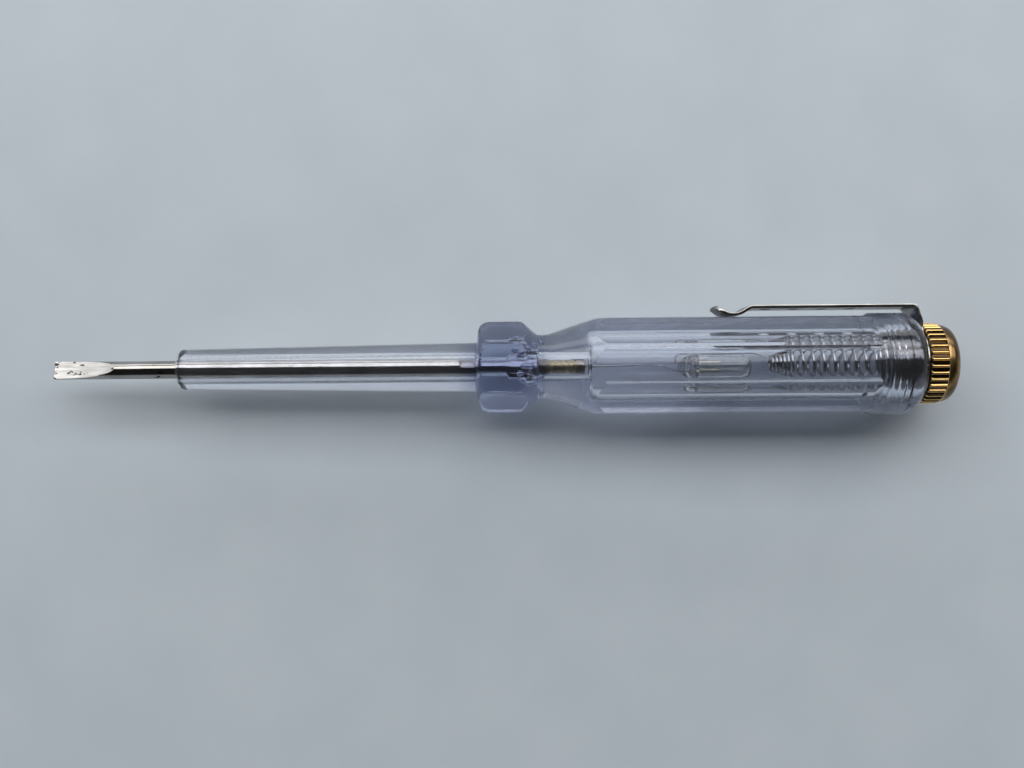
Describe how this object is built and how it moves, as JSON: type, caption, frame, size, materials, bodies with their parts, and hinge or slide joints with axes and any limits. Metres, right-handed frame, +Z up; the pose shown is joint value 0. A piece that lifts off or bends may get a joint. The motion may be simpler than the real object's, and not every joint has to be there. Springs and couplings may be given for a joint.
{
  "type": "voltage tester",
  "caption": "Screwdriver-style neon voltage tester: clear octagonal handle with a lamp, resistor and spring inside, steel blade, knurled brass screw cap and sprung pocket clip.",
  "frame": {"origin": "centre of the outline on the surface that the tester lies on, below the rear collar", "axes": "+X along the tester's axis from the blade's tip to the brass cap, +Y towards the pocket clip, +Z up from the surface"},
  "size_m": [0.14, 0.0171, 0.0159],
  "materials": {
    "clear_plastic": "clear moulded plastic with a pale blue tint, polished",
    "plated_steel": "bright nickel plate with fine wear",
    "tinned_metal": "tinned, slightly dull",
    "resistor_coat": "beige lacquer",
    "lamp_glass": "clear thin glass",
    "nickel": "drawn nickel rod",
    "spring_wire": "drawn steel wire",
    "brass": "turned and knurled, lightly tarnished"
  },
  "bodies": {
    "body": {"handle": "clear_plastic", "blade": "plated_steel", "resistor_front_cap": "tinned_metal", "resistor_body": "resistor_coat", "resistor_rear_cap": "tinned_metal", "lamp_bulb": "lamp_glass", "lamp_stem": "lamp_glass", "lamp_left_electrode": "nickel", "lamp_right_electrode": "nickel", "lamp_front_lead": "tinned_metal", "lamp_return_lead": "tinned_metal", "contact_spring": "spring_wire"},
    "clip_mount": {"clip_ring": "plated_steel"},
    "clip": {"clip_arm": "plated_steel"},
    "cap": {"end_cap": "brass"}
  },
  "joints": [
    {"name": "cap_travel", "type": "slide", "parent": "body", "child": "clip_mount", "axis": [1, 0, 0], "range_m": [0, 0.0045], "deforming": ["contact_spring"]},
    {"name": "cap_turn", "type": "hinge", "parent": "clip_mount", "child": "cap", "pos_m": [0.065, -0.00061, 0.00795], "axis": [1, 0, 0], "range_deg": [0, 1620]},
    {"name": "clip_flex", "type": "hinge", "parent": "clip_mount", "child": "clip", "pos_m": [0.06447, 0.0076, 0.00795], "axis": [0, 0, -1], "range_deg": [0, 5], "stiffness_Nm_per_rad": 0.5}
  ],
  "couplings": [
    {"joint": "cap_turn", "follows": "cap_travel", "rad_per_m": 6283.2}
  ]
}
